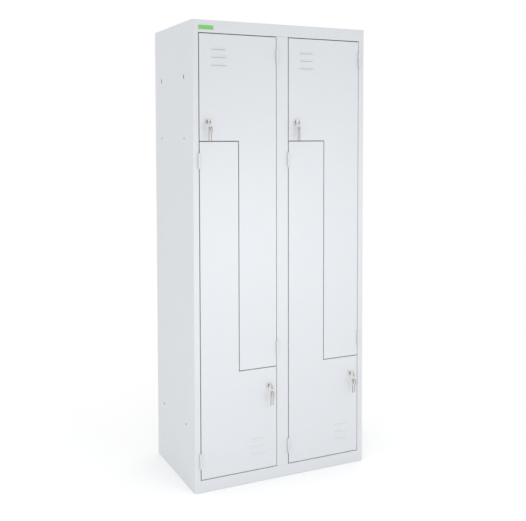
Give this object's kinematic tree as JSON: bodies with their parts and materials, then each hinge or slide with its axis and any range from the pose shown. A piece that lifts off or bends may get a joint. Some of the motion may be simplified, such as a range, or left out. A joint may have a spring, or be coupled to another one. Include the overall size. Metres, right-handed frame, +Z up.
{
  "type": "locker",
  "caption": "Tall steel locker with columns shared by interlocking L-shaped doors in a Z layout, with louvres, lift-off hinges, cam locks and keys on rings",
  "frame": {"origin": "on the floor under the middle of the cabinet, on the underside of the base brace", "axes": "+X to the right seen from the front, +Y from the front to the back, +Z up"},
  "size_m": [0.76, 0.4952, 1.83],
  "materials": {
    "cabinet_paint": "satin powder coat, light grey",
    "door_paint": "satin powder coat, light grey",
    "inside_paint": "satin powder coat, light grey",
    "nickel_plate": "nickel plated",
    "zinc_plate": "zinc plated",
    "key_metal": "dull nickel over brass",
    "label_green": "bare bright green"
  },
  "bodies": {
    "cabinet": {"back_panel": "cabinet_paint", "base_brace": "inside_paint", "base_panel": "cabinet_paint", "centre_partition": "inside_paint", "centre_post": "cabinet_paint", "divider_left": "inside_paint", "divider_right": "inside_paint", "hinge_pin_half_lower_left_bottom": "cabinet_paint", "hinge_pin_half_lower_left_top": "cabinet_paint", "hinge_pin_half_lower_right_bottom": "cabinet_paint", "hinge_pin_half_lower_right_top": "cabinet_paint", "hinge_pin_half_upper_left_bottom": "cabinet_paint", "hinge_pin_half_upper_left_top": "cabinet_paint", "hinge_pin_half_upper_right_bottom": "cabinet_paint", "hinge_pin_half_upper_right_top": "cabinet_paint", "label_plate": "label_green", "lower_shelf_left": "inside_paint", "lower_shelf_right": "inside_paint", "side_panel_left": "cabinet_paint", "side_panel_right": "cabinet_paint", "top_panel": "cabinet_paint", "upper_shelf_left": "inside_paint", "upper_shelf_right": "inside_paint"},
    "door_upper_left": {"door_panel_upper_left": "door_paint", "lock_barrel_upper_left": "nickel_plate", "lock_nut_upper_left": "zinc_plate"},
    "lock_upper_left": {"lock_plug_upper_left": "nickel_plate", "lock_cam_upper_left": "zinc_plate", "key_upper_left": "key_metal"},
    "ring_upper_left": {"key_ring_upper_left": "nickel_plate"},
    "spare_keys_upper_left": {"spare_key_upper_left_a": "key_metal", "spare_key_upper_left_b": "key_metal"},
    "door_lower_left": {"door_panel_lower_left": "door_paint", "lock_barrel_lower_left": "nickel_plate", "lock_nut_lower_left": "zinc_plate"},
    "lock_lower_left": {"lock_plug_lower_left": "nickel_plate", "lock_cam_lower_left": "zinc_plate", "key_lower_left": "key_metal"},
    "ring_lower_left": {"key_ring_lower_left": "nickel_plate"},
    "spare_keys_lower_left": {"spare_key_lower_left_a": "key_metal", "spare_key_lower_left_b": "key_metal"},
    "door_upper_right": {"door_panel_upper_right": "door_paint", "lock_barrel_upper_right": "nickel_plate", "lock_nut_upper_right": "zinc_plate"},
    "lock_upper_right": {"lock_plug_upper_right": "nickel_plate", "lock_cam_upper_right": "zinc_plate", "key_upper_right": "key_metal"},
    "ring_upper_right": {"key_ring_upper_right": "nickel_plate"},
    "spare_keys_upper_right": {"spare_key_upper_right_a": "key_metal", "spare_key_upper_right_b": "key_metal"},
    "door_lower_right": {"door_panel_lower_right": "door_paint", "lock_barrel_lower_right": "nickel_plate", "lock_nut_lower_right": "zinc_plate"},
    "lock_lower_right": {"lock_plug_lower_right": "nickel_plate", "lock_cam_lower_right": "zinc_plate", "key_lower_right": "key_metal"},
    "ring_lower_right": {"key_ring_lower_right": "nickel_plate"},
    "spare_keys_lower_right": {"spare_key_lower_right_a": "key_metal", "spare_key_lower_right_b": "key_metal"}
  },
  "joints": [
    {"name": "door_upper_left_swing", "type": "hinge", "parent": "cabinet", "child": "door_upper_left", "pos_m": [-0.0251, -0.2348, 0], "axis": [0, 0, 1], "range_deg": [0, 95]},
    {"name": "lock_upper_left_turn", "type": "hinge", "parent": "door_upper_left", "child": "lock_upper_left", "pos_m": [-0.3201, -0.23, 1.4435], "axis": [0, -1, 0], "range_deg": [0, 90]},
    {"name": "ring_upper_left_swing", "type": "hinge", "parent": "lock_upper_left", "child": "ring_upper_left", "pos_m": [-0.31698, -0.2552, 1.44251], "axis": [0, 1, 0], "range_deg": [0, 45]},
    {"name": "spare_keys_upper_left_slide_round_ring", "type": "hinge", "parent": "ring_upper_left", "child": "spare_keys_upper_left", "pos_m": [-0.3201, -0.2552, 1.43122], "axis": [0, 1, 0], "range_deg": [0, 45]},
    {"name": "door_lower_left_swing", "type": "hinge", "parent": "cabinet", "child": "door_lower_left", "pos_m": [-0.3561, -0.2348, 0], "axis": [0, 0, -1], "range_deg": [0, 110]},
    {"name": "lock_lower_left_turn", "type": "hinge", "parent": "door_lower_left", "child": "lock_lower_left", "pos_m": [-0.0611, -0.23, 0.3865], "axis": [0, -1, 0], "range_deg": [0, 90]},
    {"name": "ring_lower_left_swing", "type": "hinge", "parent": "lock_lower_left", "child": "ring_lower_left", "pos_m": [-0.05798, -0.2552, 0.38551], "axis": [0, 1, 0], "range_deg": [0, 45]},
    {"name": "spare_keys_lower_left_slide_round_ring", "type": "hinge", "parent": "ring_lower_left", "child": "spare_keys_lower_left", "pos_m": [-0.0611, -0.2552, 0.37422], "axis": [0, 1, 0], "range_deg": [0, 45]},
    {"name": "door_upper_right_swing", "type": "hinge", "parent": "cabinet", "child": "door_upper_right", "pos_m": [0.3561, -0.2348, 0], "axis": [0, 0, 1], "range_deg": [0, 110]},
    {"name": "lock_upper_right_turn", "type": "hinge", "parent": "door_upper_right", "child": "lock_upper_right", "pos_m": [0.0611, -0.23, 1.4435], "axis": [0, -1, 0], "range_deg": [0, 90]},
    {"name": "ring_upper_right_swing", "type": "hinge", "parent": "lock_upper_right", "child": "ring_upper_right", "pos_m": [0.06422, -0.2552, 1.44251], "axis": [0, 1, 0], "range_deg": [0, 45]},
    {"name": "spare_keys_upper_right_slide_round_ring", "type": "hinge", "parent": "ring_upper_right", "child": "spare_keys_upper_right", "pos_m": [0.0611, -0.2552, 1.43122], "axis": [0, 1, 0], "range_deg": [0, 45]},
    {"name": "door_lower_right_swing", "type": "hinge", "parent": "cabinet", "child": "door_lower_right", "pos_m": [0.0251, -0.2348, 0], "axis": [0, 0, -1], "range_deg": [0, 95]},
    {"name": "lock_lower_right_turn", "type": "hinge", "parent": "door_lower_right", "child": "lock_lower_right", "pos_m": [0.3201, -0.23, 0.3865], "axis": [0, -1, 0], "range_deg": [0, 90]},
    {"name": "ring_lower_right_swing", "type": "hinge", "parent": "lock_lower_right", "child": "ring_lower_right", "pos_m": [0.32322, -0.2552, 0.38551], "axis": [0, 1, 0], "range_deg": [0, 45]},
    {"name": "spare_keys_lower_right_slide_round_ring", "type": "hinge", "parent": "ring_lower_right", "child": "spare_keys_lower_right", "pos_m": [0.3201, -0.2552, 0.37422], "axis": [0, 1, 0], "range_deg": [0, 45]}
  ],
  "couplings": [
    {"joint": "ring_upper_left_swing", "follows": "lock_upper_left_turn", "ratio": 0.5},
    {"joint": "spare_keys_upper_left_slide_round_ring", "follows": "lock_upper_left_turn", "ratio": 0.5},
    {"joint": "ring_lower_left_swing", "follows": "lock_lower_left_turn", "ratio": 0.5},
    {"joint": "spare_keys_lower_left_slide_round_ring", "follows": "lock_lower_left_turn", "ratio": 0.5},
    {"joint": "ring_upper_right_swing", "follows": "lock_upper_right_turn", "ratio": 0.5},
    {"joint": "spare_keys_upper_right_slide_round_ring", "follows": "lock_upper_right_turn", "ratio": 0.5},
    {"joint": "ring_lower_right_swing", "follows": "lock_lower_right_turn", "ratio": 0.5},
    {"joint": "spare_keys_lower_right_slide_round_ring", "follows": "lock_lower_right_turn", "ratio": 0.5}
  ]
}
